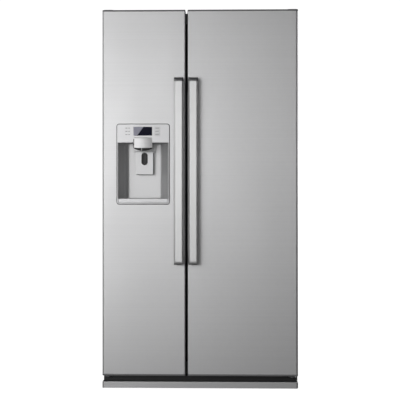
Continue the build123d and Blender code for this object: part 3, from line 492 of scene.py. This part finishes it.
# %% Mesh helpers
def to_object(bm, name, body, slot):
    """Linked object that rides a body and wears one finish."""
    mesh = bpy.data.meshes.new(name)
    bm.to_mesh(mesh)
    bm.free()
    piece = bpy.data.objects.new(name, mesh)
    bpy.context.collection.objects.link(piece)
    mesh.materials.append(finishes[slot])
    mesh.shade_smooth()
    modifier = piece.modifiers.new("soft_shading", "NODES")
    modifier.node_group = soft_shading
    weight = piece.modifiers.new("face_weight", "WEIGHTED_NORMAL")
    weight.keep_sharp = True
    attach(piece, body)
    return piece


def rounded_block(name, low, high, radius, body, slot, segments=4):
    """Block between two corners with all its edges rounded."""
    bm = bmesh.new()
    bmesh.ops.create_cube(bm, size=1.0)
    low, high = Vector(low), Vector(high)
    for vertex in bm.verts:
        vertex.co = Vector(
            low[i] if vertex.co[i] < 0 else high[i] for i in range(3)
        )
    bmesh.ops.bevel(
        bm, geom=bm.edges, offset=radius, segments=segments, profile=0.5, affect="EDGES"
    )
    return to_object(bm, name, body, slot)


def join_loops(bm, loops):
    """Fill the band between each loop of vertices and the next."""
    for first, second in zip(loops, loops[1:]):
        for i in range(len(first)):
            j = (i + 1) % len(first)
            bm.faces.new((first[i], first[j], second[j], second[i]))


def lofted_bar(name, rings, body, slot):
    """Closed skin through a list of rings that have equal numbers of points."""
    bm = bmesh.new()
    loops = [[bm.verts.new(point) for point in ring] for ring in rings]
    join_loops(bm, loops)
    bm.faces.new(loops[0][::-1])
    bm.faces.new(loops[-1])
    bmesh.ops.recalc_face_normals(bm, faces=bm.faces)
    return to_object(bm, name, body, slot)


# %% [markdown]
# ## Handles
# Each handle is an extruded bar with a flat face, soft bevels and separate ends that curve
# back to the door, dark at the top and paler at the foot: the top end wears a dark copy of the
# handle metal as painted shade and the foot a paler copy as painted light. The section is a
# rounded outline; the rings of each end shrink and move back, which curves it in one loft.

# %% Handle section
def softened(corners, reach, steps=4):
    """Closed outline with every corner replaced by a short curve."""
    outline = []
    for i, corner in enumerate(corners):
        corner = Vector(corner)
        start = corner + (Vector(corners[i - 1]) - corner).normalized() * reach
        end = corner + (Vector(corners[(i + 1) % len(corners)]) - corner).normalized() * reach
        for step in range(steps + 1):
            t = step / steps
            point = start * (1 - t) ** 2 + corner * (2 * t * (1 - t)) + end * t**2
            outline.append(tuple(point))
    return outline


def bar_outline(centre, half, front, back):
    """Plan of the bar: flat front, a flat bevel on each side, narrower back."""
    corners = (
        (centre - half + BEVEL, front),
        (centre - half, front + BEVEL),
        (centre - half + 0.003, back),
        (centre + half - 0.003, back),
        (centre + half, front + BEVEL),
        (centre + half - BEVEL, front),
    )
    return softened(corners, 0.0008)


BEVEL = 0.0078
CAP_DROP = 0.016
CAP_TAPER = 6
CAP_STEPS = 8


def cap_rings(outline, centre, front, low_z, high_z):
    """Rings that shrink and move back on the way to the tip of a handle."""
    rings = []
    for step in range(CAP_STEPS + 1):
        share = step / CAP_STEPS
        drop = (1 - math.sqrt(max(1 - share**2, 0.0))) * CAP_DROP
        z = low_z + (high_z - low_z) * math.sin(share * math.pi / 2)
        narrowing = 1 - drop * CAP_TAPER
        rings.append(
            [(centre + (x - centre) * narrowing, max(y, front + drop), z) for x, y in outline]
        )
    return rings


def build_handle(door):
    bar_low, bar_high = (Vector(c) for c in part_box(f"{door}_handle_bar"))
    end_low, end_high = (Vector(c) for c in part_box(f"{door}_handle_ends"))
    centre = (bar_low.x + bar_high.x) / 2
    half = (bar_high.x - bar_low.x) / 2
    outline = bar_outline(centre, half, bar_low.y, bar_high.y)
    rings = [[(x, y, z) for x, y in outline] for z in (bar_low.z, bar_high.z)]
    bar = lofted_bar(f"{door}_handle_bar_skin", rings, f"{door}_door", "handle_aluminium")
    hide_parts(f"{door}_handle_bar")
    caps = []
    # Painted light and shade: the foot takes the paler copy, the top the dark copy.
    for low_z, high_z, sign, slot in (
        (bar_low.z, end_low.z, -1, "handle_foot_painted_light"),
        (bar_high.z, end_high.z, 1, "handle_dark"),
    ):
        rings = cap_rings(outline, centre, bar_low.y, low_z, high_z)
        caps.append(lofted_bar(f"{door}_handle_cap{sign}", rings, f"{door}_door", slot))
    print(door, "handle", round(end_high.z - end_low.z, 3), "m long")
    return caps


handle_caps = {door: build_handle(door) for door in ("freezer", "fridge")}

# %% [markdown]
# ## Handle posts
# Behind each end a post reaches the door skin. The posts sit hidden from the front, but
# show from the side, so they are rounded blocks of dark metal.

# %% Handle posts
DOOR_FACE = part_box("freezer_door_skin")[0][1]
POST_HALF = 0.0135
POST_REACH = 0.040
POST_INSET = 0.004


def build_posts(door):
    bar_low, bar_high = (Vector(c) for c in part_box(f"{door}_handle_bar"))
    end_low, end_high = (Vector(c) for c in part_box(f"{door}_handle_ends"))
    centre = (bar_low.x + bar_high.x) / 2
    spans = (
        (end_low.z + POST_INSET, bar_low.z + POST_REACH),
        (bar_high.z - POST_REACH, end_high.z - POST_INSET),
    )
    for number, (low_z, high_z) in enumerate(spans):
        post = rounded_block(
            f"{door}_handle_post_{number}",
            (centre - POST_HALF, bar_high.y - 0.001, low_z),
            (centre + POST_HALF, DOOR_FACE, high_z),
            0.004,
            f"{door}_door",
            "handle_dark",
        )
    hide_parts(f"{door}_handle_ends")


for door in ("freezer", "fridge"):
    build_posts(door)

# %% [markdown]
# ## Lever pad
# A black rubber pad, shaped like a pill, takes the rim of the glass. It has a raised lip
# and a thin ring groove. Rings of the same outline, each a little smaller and at its own
# depth, make the whole relief in one loft.

# %% Lever pad
lever_low, lever_high = (Vector(c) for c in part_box("dispenser_lever"))
lever_x = (lever_low.x + lever_high.x) / 2
PAD_SIZE = (0.0145, 0.0295)


def pill_ring(centre_x, centre_z, y, inset, steps=16):
    radius = PAD_SIZE[0] - inset
    straight = PAD_SIZE[1] - PAD_SIZE[0]
    ring = []
    for step in range(2 * steps):
        turn = (step + 0.5) / steps * math.pi
        lift = straight if math.sin(turn) > 0 else -straight
        ring.append(
            (centre_x + radius * math.cos(turn), y, centre_z + lift + radius * math.sin(turn))
        )
    return ring


pad_face = lever_low.y
PAD_RELIEF = (
    (0.0, 0.0015), (0.0, -0.0008), (0.0012, -0.0016), (0.0035, -0.0016), (0.0045, -0.0004),
    (0.0058, -0.0004), (0.0068, -0.0014), (0.0100, -0.0010), (0.0125, -0.0008),
)
pad_z = lever_high.z - 0.0370
pad_rings = [pill_ring(lever_x + 0.001, pad_z, pad_face + y, inset) for inset, y in PAD_RELIEF]
lofted_bar("lever_pad", pad_rings, "lever", "black_plastic")
print("lever pad", PAD_SIZE[0] * 2, "by", PAD_SIZE[1] * 2)

# %% [markdown]
# ## Painted shadow line around the dispenser
# The frame sits in the door with a fine dark shadow line all round it. A thin dark rubber cord
# between frame and skin fills that gap and paints the shadow line; rounded corners follow the
# frame.

# %% Dispenser painted shadow line
frame_low, frame_high = (Vector(c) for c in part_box("dispenser_frame"))


def rounded_rectangle(low_x, high_x, low_z, high_z, radius, y, steps=8):
    corners = (
        (high_x - radius, high_z - radius, 0),
        (low_x + radius, high_z - radius, 90),
        (low_x + radius, low_z + radius, 180),
        (high_x - radius, low_z + radius, 270),
    )
    ring = []
    for x, z, start in corners:
        for step in range(steps + 1):
            turn = math.radians(start + 90 * step / steps)
            ring.append((x + radius * math.cos(turn), y, z + radius * math.sin(turn)))
    return ring


def rectangular_bead(name, low, high, radius, section, body, slot):
    """Closed bead around a rounded rectangle; section is (outset, y) pairs."""
    bm = bmesh.new()
    loops = []
    for outset, y in section:
        ring = rounded_rectangle(
            low[0] - outset, high[0] + outset, low[1] - outset, high[1] + outset,
            max(radius + outset, 0.0005), y,
        )
        loops.append([bm.verts.new(point) for point in ring])
    loops.append(loops[0])
    join_loops(bm, loops)
    bmesh.ops.recalc_face_normals(bm, faces=bm.faces)
    return to_object(bm, name, body, slot)


# Painted shadow: the dark cord stands where the gap shows shade.
rectangular_bead(
    "dispenser_shadow_line",
    (frame_low.x, frame_low.z),
    (frame_high.x, frame_high.z),
    0.010,
    ((0.0, frame_low.y + 0.0004), (0.0022, frame_low.y + 0.0008), (0.0026, DOOR_FACE),
     (0.0, DOOR_FACE)),
    "freezer_door",
    "seal_rubber",
)

# %% [markdown]
# ## Lining of the dispenser recess
# The recess has shaded side walls and a light back plate with a bead down each side. The
# plate and beads are separate mouldings clipped into the housing, so they are built as
# pieces of their own rather than painted on. Their tones differ by side as painted light:
# the right bead wears the light finish as a painted highlight, the left bead the mid finish
# as painted shade, the front rims are lighter on the left and darker on the right, and a mid
# strip on each splayed wall paints a band of shade.

# %% Recess lining
housing_low, housing_high = (Vector(c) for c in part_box("dispenser_housing"))
tray_low, tray_high = (Vector(c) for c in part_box("drip_tray"))
recess_x = (housing_low.x + housing_high.x) / 2
BACK_WALL = housing_high.y - 0.003
PLATE_Z = (tray_high.z + 0.0012, housing_high.z - 0.004)
PLATE_HALF = 0.0745
BEAD_HALF = 0.0020
BEAD_X = PLATE_HALF + BEAD_HALF
WALL_FOOT = 0.076
WALL_SLOPE = 0.41
rounded_block(
    "recess_plate",
    (recess_x - PLATE_HALF, BACK_WALL - 0.0022, PLATE_Z[0]),
    (recess_x + PLATE_HALF, BACK_WALL - 0.0002, PLATE_Z[1]),
    0.0008, "freezer_door", "recess_light", 3,
)
# Painted shade on the left bead (mid finish), painted highlight on the right bead (light finish).
for name, x, slot in (("left", -BEAD_X, "recess_mid"), ("right", BEAD_X, "recess_light")):
    rounded_block(
        f"recess_bead_{name}",
        (recess_x + x - BEAD_HALF, BACK_WALL - 0.0065, PLATE_Z[0]),
        (recess_x + x + BEAD_HALF, BACK_WALL - 0.0004, PLATE_Z[1]),
        0.0015, "freezer_door", slot, 4,
    )


def wall_shade_strip(name, side, near, far, slot):
    """Thin painted shade strip along one splayed wall, between two distances from the back wall."""
    corners = []
    for ahead, inset in ((near, 0.0006), (far, 0.0006), (far, 0.0014), (near, 0.0014)):
        half = WALL_FOOT + ahead * WALL_SLOPE - inset
        corners.append((recess_x + side * half, BACK_WALL - ahead))
    rings = [[(x, y, z) for x, y in corners] for z in (PLATE_Z[0], PLATE_Z[1] - 0.012)]
    return lofted_bar(name, rings, "freezer_door", slot)


# Painted shade: one darker band on each wall, placed by side.
wall_shade_strip("recess_shade_strip_left", -1, 0.039, 0.017, "recess_mid")
wall_shade_strip("recess_shade_strip_right", 1, 0.097, 0.075, "recess_mid")
RIM_X, RIM_HALF = 0.1196, 0.0024
# Painted light and shade: the left rim is lighter, the right rim darker.
for name, x, slot in (("left", -RIM_X, "dispenser_grey"), ("right", RIM_X, "recess_mid")):
    rounded_block(
        f"recess_rim_{name}",
        (recess_x + x - RIM_HALF, frame_low.y - 0.0003, tray_high.z + 0.001),
        (recess_x + x + RIM_HALF, frame_low.y + 0.0002, housing_high.z - 0.0035),
        0.0002, "freezer_door", slot, 2,
    )
print("recess lined between", [round(v, 3) for v in PLATE_Z])

# %% [markdown]
# ## Spout
# Ice and water come out of a bright plated shell with a gently bowed front. Under it a
# black band that curves down to the middle paints the shade under the shell's rounded foot,
# a thin black strip on its left paints its shadow, and the small bright water nozzle sits in front.

# %% Spout
outlet_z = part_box("dispenser_chute")[0][2]
SPOUT_HALF = 0.0425
SPOUT_FRONT = frame_low.y - 0.0045
spout_top, spout_foot = window_low.z - 0.008, outlet_z + 0.0025


def bowed_ring(z, half, front, bow, steps=14):
    """Ring whose front is bowed and whose back is flat."""
    ring = []
    for step in range(steps + 1):
        share = step / steps * 2 - 1
        ring.append((recess_x + share * half, front + bow * share**2, z))
    ring.append((recess_x + half, frame_low.y + 0.002, z))
    ring.append((recess_x - half, frame_low.y + 0.002, z))
    return ring


shell_rings = [
    bowed_ring(spout_top, SPOUT_HALF - 0.0005, SPOUT_FRONT + 0.0008, 0.003),
    bowed_ring(spout_top - 0.0010, SPOUT_HALF, SPOUT_FRONT, 0.0035),
    bowed_ring(spout_foot + 0.002, SPOUT_HALF, SPOUT_FRONT, 0.0035),
    bowed_ring(spout_foot, SPOUT_HALF - 0.001, SPOUT_FRONT + 0.0010, 0.003),
]
lofted_bar("spout_shell", shell_rings, "freezer_door", "chute_chrome")

# Painted shade: a black band under the shell, lowest in the middle.
SHADE_STEPS = 16
SHADE_RISE = 0.011
shade_rings = []
for step in range(SHADE_STEPS + 1):
    share = step / SHADE_STEPS * 2 - 1
    x = recess_x + share * (SPOUT_HALF + 0.001)
    foot = outlet_z - 0.0095 + SHADE_RISE * abs(share) ** 2.2
    depth = (frame_low.y - 0.0022, frame_low.y + 0.010)
    shade_rings.append([
        (x, depth[0], spout_foot + 0.002), (x, depth[0] + 0.002, foot),
        (x, depth[1], foot + 0.002), (x, depth[1], spout_foot + 0.002),
    ])
lofted_bar("spout_painted_shade", shade_rings, "freezer_door", "black_plastic")
# Painted shadow: a thin black strip down the left side of the shell.
rounded_block(
    "spout_side_painted_shadow",
    (recess_x - SPOUT_HALF - 0.003, frame_low.y - 0.0012, spout_foot),
    (recess_x - SPOUT_HALF + 0.001, frame_low.y + 0.0005, spout_top - 0.004),
    0.0006, "freezer_door", "black_plastic", 2,
)
nozzle_centre = (recess_x - 0.007, frame_low.y - 0.0030)
NOZZLE_SIDES = 12
nozzle_rings = []
for lift, radius in ((0.0045, 0.0022), (-0.0080, 0.0022), (-0.0100, 0.0012)):
    turns = [math.tau * i / NOZZLE_SIDES for i in range(NOZZLE_SIDES)]
    nozzle_rings.append([
        (
            nozzle_centre[0] + radius * math.cos(turn),
            nozzle_centre[1] + radius * math.sin(turn),
            outlet_z + lift,
        )
        for turn in turns
    ])
lofted_bar("water_nozzle", nozzle_rings, "freezer_door", "recess_light")

# %% [markdown]
# ## Painted shadow of the lever
# Behind the light lever plate a dark plate, set off to the right and down, paints the
# lever's shadow as a thin line on its right and along its foot.

# %% Lever painted shadow
rounded_block(
    "lever_painted_shadow",
    (lever_x - 0.038, lever_high.y - 0.0040, lever_low.z - 0.0022),
    (lever_x + 0.0435, lever_high.y - 0.0022, lever_high.z - 0.010),
    0.0008, "lever", "grey_plastic", 3,
)

# %% [markdown]
# ## Painted shade in the door gap
# The gap between the doors reads black because it lies in shade. Three thin black strips
# paint that shade: one on each free edge and one on the cabinet between the seals.

# %% Gap painted shade
left_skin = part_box("freezer_door_skin")
right_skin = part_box("fridge_door_skin")
SHADE_EDGE_Y = (left_skin[0][1] + 0.0048, left_skin[1][1])
for door, box, x in (
    ("freezer", left_skin, (left_skin[1][0], left_skin[1][0] + 0.0006)),
    ("fridge", right_skin, (right_skin[0][0] - 0.0006, right_skin[0][0])),
):
    rounded_block(
        f"{door}_edge_painted_shade", (x[0], SHADE_EDGE_Y[0], box[0][2]), (x[1], SHADE_EDGE_Y[1], box[1][2]),
        0.00025, f"{door}_door", "black_plastic", 2,
    )
case_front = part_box("cabinet_wrapper")[0][1]
rounded_block(
    "centre_painted_shade",
    (left_skin[1][0] - 0.006, case_front - 0.002, left_skin[0][2] + 0.05),
    (right_skin[0][0] + 0.006, case_front, left_skin[1][2] - 0.05),
    0.0008, "cabinet", "black_plastic", 3,
)

# %% [markdown]
# ## Printed marks beside the display
# Small bars stand for the rows of symbols on the panel, with no words. They are thin
# raised prints on either side of the display, three rows each, like the real layout.

# %% Panel marks
button_boxes = [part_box(f"dispenser_button_{n}") for n in (1, 2, 3)]
mark_left = window_low.x - 0.034
for row, (low, high) in enumerate(button_boxes):
    middle_z = (low[2] + high[2]) / 2
    for column, width in enumerate((0.010, 0.007)):
        x = mark_left + column * 0.014
        rounded_block(
            f"panel_mark_{row}_{column}",
            (x, frame_low.y - 0.0003, middle_z - 0.0016),
            (x + width, frame_low.y + 0.0002, middle_z + 0.0016),
            0.0002,
            "freezer_door",
            "grey_plastic",
            2,
        )
    rounded_block(
        f"button_mark_{row}",
        (low[0] + 0.006, low[1] - 0.0003, middle_z - 0.0012),
        (high[0] - 0.006, low[1] + 0.0002, middle_z + 0.0012),
        0.0002,
        f"button_{row + 1}",
        "grey_plastic",
        2,
    )
print("panel marks placed left of x =", round(window_low.x, 3))

# %% [markdown]
# ## Door seals
# The magnetic seal is a soft tube with a flat magnet lip and a bellows fold. The section
# is drawn as a short list of outset and depth pairs and swept round the door.

# %% Door seals
def build_door_seal(door):
    low, high = (Vector(c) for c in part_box(f"{door}_door_gasket"))
    width = 0.014
    back, front = high.y, low.y
    middle = (back + front) / 2
    inner_low = (low.x + width, low.z + width)
    inner_high = (high.x - width, high.z - width)
    section = (
        (0.001, front), (0.004, middle), (0.0, back - 0.003), (0.0, back), (width, back),
        (width, back - 0.003), (width - 0.004, middle), (width - 0.001, front),
    )
    bead = rectangular_bead(
        f"{door}_door_seal", inner_low, inner_high, 0.004, section, f"{door}_door", "seal_rubber"
    )
    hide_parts(f"{door}_door_gasket")


for door in ("freezer", "fridge"):
    build_door_seal(door)

# %% [markdown]
# ## Shelf trims
# Glass shelves wear a moulded front edge so that nobody meets bare glass. Each trim is a
# rounded bar just in front of its pane and a little taller than it.

# %% Shelf trims
def shelf_panes():
    mesh = nodes["glass_shelves"].data
    tops = {}
    for vertex in mesh.vertices:
        side = "freezer" if vertex.co.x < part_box("fridge_liner")[0][0] else "fridge"
        level = round(vertex.co.z, 3)
        tops.setdefault((side, level), []).append(vertex.co.copy())
    return tops


panes = shelf_panes()
for side in ("freezer", "fridge"):
    levels = sorted(level for key, level in panes if key == side)
    for low_z, high_z in zip(levels[::2], levels[1::2]):
        corners = panes[(side, low_z)]
        left = min(c.x for c in corners)
        right = max(c.x for c in corners)
        edge = min(c.y for c in corners)
        rounded_block(
            f"{side}_shelf_trim_{round(low_z * 1000)}",
            (left + 0.001, edge - 0.006, low_z - 0.004),
            (right - 0.001, edge + 0.004, high_z + 0.002),
            0.002,
            "cabinet",
            "white_plastic",
            3,
        )
print("shelf trims:", len([k for k in panes]) // 2)

# %% [markdown]
# ## Screws
# Screws hold the hinge covers and the machine cover. Each head is a low dome with a
# cross recess, spun from a profile and cut by pushing the inner ring down.

# %% Screw heads
def screw_head(name, place, normal, radius, body):
    """Low domed head with a recessed cross, facing along an axis direction."""
    normal = Vector(normal)
    side = normal.orthogonal().normalized()
    other = normal.cross(side)
    profile = ((1.0, 0.0), (0.98, 0.10), (0.80, 0.30), (0.50, 0.42), (0.28, 0.42))
    bm = bmesh.new()
    loops = []
    count = 16
    for share, height in profile:
        loops.append([
            bm.verts.new(
                Vector(place)
                + side * math.cos(math.tau * i / count) * share * radius
                + other * math.sin(math.tau * i / count) * share * radius
                + normal * height * radius
            )
            for i in range(count)
        ])
    recess = []
    for i in range(count):
        reach = 0.26 if i % 4 == 0 else 0.07
        recess.append(bm.verts.new(
            Vector(place)
            + side * math.cos(math.tau * i / count) * reach * radius
            + other * math.sin(math.tau * i / count) * reach * radius
            + normal * 0.12 * radius
        ))
    loops.append(recess)
    join_loops(bm, loops)
    bm.faces.new(recess)
    bmesh.ops.recalc_face_normals(bm, faces=bm.faces)
    return to_object(bm, name, body, "zinc_steel")


cover_low, cover_high = (Vector(c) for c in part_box("machine_cover"))
for i, x in enumerate((0.02, 0.5, 0.98)):
    for j, z in enumerate((0.03, 0.97)):
        place = (
            cover_low.x + (cover_high.x - cover_low.x) * x,
            cover_high.y,
            cover_low.z + (cover_high.z - cover_low.z) * z,
        )
        screw_head(f"cover_screw_{i}{j}", place, (0, 1, 0), 0.0045, "cabinet")
hinge_low, hinge_high = (Vector(c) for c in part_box("hinge_covers"))
for side, x in (("left", hinge_low.x + 0.021), ("right", hinge_high.x - 0.021)):
    screw_head(
        f"hinge_screw_{side}", (x, hinge_high.y - 0.022, hinge_high.z), (0, 0, 1), 0.004, "cabinet"
    )

# %% [markdown]
# ## Floor, light and camera
# The floor is a plain pale sheet that curves up behind into a backdrop, so that no
# horizon line shows. The key light is a large soft panel on the left, because the doors
# are brightest there and fall away to the lower right.

# %% Floor and backdrop
def studio_sheet():
    bm = bmesh.new()
    profile = [(-14.0, 0.0), (3.0, 0.0)]
    for step in range(1, 13):
        turn = step / 12 * math.pi / 2
        profile.append((3.0 + 3.0 * math.sin(turn), 3.0 - 3.0 * math.cos(turn)))
    profile.append((6.0, 12.0))
    rows = [[bm.verts.new((x, y, z)) for y, z in profile] for x in (-16.0, 16.0)]
    for i in range(len(profile) - 1):
        bm.faces.new((rows[0][i], rows[1][i], rows[1][i + 1], rows[0][i + 1]))
    mesh = bpy.data.meshes.new("studio_sheet")
    bm.to_mesh(mesh)
    bm.free()
    mesh.shade_smooth()
    sheet = bpy.data.objects.new("studio_sheet", mesh)
    bpy.context.collection.objects.link(sheet)
    return sheet


def paper_material():
    material = bpy.data.materials.new("studio_paper")
    material.use_nodes = True
    tree = material.node_tree
    shader = tree.nodes["Principled BSDF"]
    shader.inputs["Roughness"].default_value = 0.9
    shader.inputs["Specular IOR Level"].default_value = 0.0
    surface = place_group(tree, moulded_grain, Fineness=40.0)
    paper = blend_colour(tree, surface.outputs["Mottle"], (0.26, 0.26, 0.26), (0.30, 0.30, 0.30))
    tree.links.new(paper, shader.inputs["Base Color"])
    bright = tree.nodes.new("ShaderNodeEmission")
    bright.inputs["Strength"].default_value = PAPER_GLOW
    seen = tree.nodes.new("ShaderNodeLightPath")
    both = tree.nodes.new("ShaderNodeAddShader")
    only_lit = tree.nodes.new("ShaderNodeMixShader")
    output = tree.nodes["Material Output"]
    tree.links.new(shader.outputs[0], both.inputs[0])
    tree.links.new(bright.outputs[0], both.inputs[1])
    tree.links.new(seen.outputs["Is Camera Ray"], only_lit.inputs[0])
    tree.links.new(shader.outputs[0], only_lit.inputs[1])
    tree.links.new(both.outputs[0], only_lit.inputs[2])
    tree.links.new(only_lit.outputs[0], output.inputs["Surface"])
    return material


PAPER_GLOW = 1.0
sheet = studio_sheet()
sheet.data.materials.append(paper_material())


# %% Lights and surroundings
def soft_panel(name, place, target, size, power):
    light = bpy.data.lights.new(name, "AREA")
    light.shape = "RECTANGLE"
    light.size, light.size_y = size
    light.energy = power
    lamp = bpy.data.objects.new(name, light)
    lamp.location = place
    lamp.rotation_euler = (Vector(target) - Vector(place)).to_track_quat("-Z", "Y").to_euler()
    bpy.context.collection.objects.link(lamp)
    return lamp


soft_panel("key_panel", (-2.4, -5.2, 1.45), (0.0, 0.0, 0.9), (3.2, 2.6), 66.0)
soft_panel("front_panel", (-1.5, -7.0, 1.35), (0.0, 0.0, 1.0), (2.4, 1.8), 39.0)
soft_panel("right_panel", (1.2, -7.0, 1.6), (0.0, 0.0, 1.0), (1.4, 1.2), 13.0)
soft_panel("left_side_panel", (-4.5, -0.6, 1.6), (0.0, 0.0, 1.0), (2.0, 2.0), 20.0)
soft_panel("right_side_panel", (5.0, 1.0, 1.8), (0.0, 0.2, 1.0), (2.0, 2.0), 50.0)
soft_panel("back_panel", (1.0, 5.2, 2.4), (0.0, 0.3, 1.0), (2.4, 2.0), 110.0)
soft_panel("top_panel", (0.0, 0.4, 3.6), (0.0, 0.1, 1.5), (2.4, 2.0), 14.0)

world = bpy.data.worlds.new("studio_air")
bpy.context.scene.world = world
world.use_nodes = True
world.node_tree.nodes["Background"].inputs["Color"].default_value = (1.0, 1.0, 1.0, 1.0)
world.node_tree.nodes["Background"].inputs["Strength"].default_value = 0.07
bpy.context.scene.view_settings.view_transform = "Standard"

# %% Camera
lens = bpy.data.cameras.new("front_camera")
lens.sensor_width = 36.0
lens.lens = 116.1
camera = bpy.data.objects.new("front_camera", lens)
eye_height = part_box("fridge_door_caps")[1][2] / 2
camera.location = (0.195, DOOR_FACE - 6.0, eye_height - 0.0035)
aim = Vector((0.0, DOOR_FACE, eye_height - 0.0035))
camera.rotation_euler = (aim - camera.location).to_track_quat("-Z", "Y").to_euler()
bpy.context.collection.objects.link(camera)
bpy.context.scene.camera = camera
print("camera at", [round(v, 3) for v in camera.location])
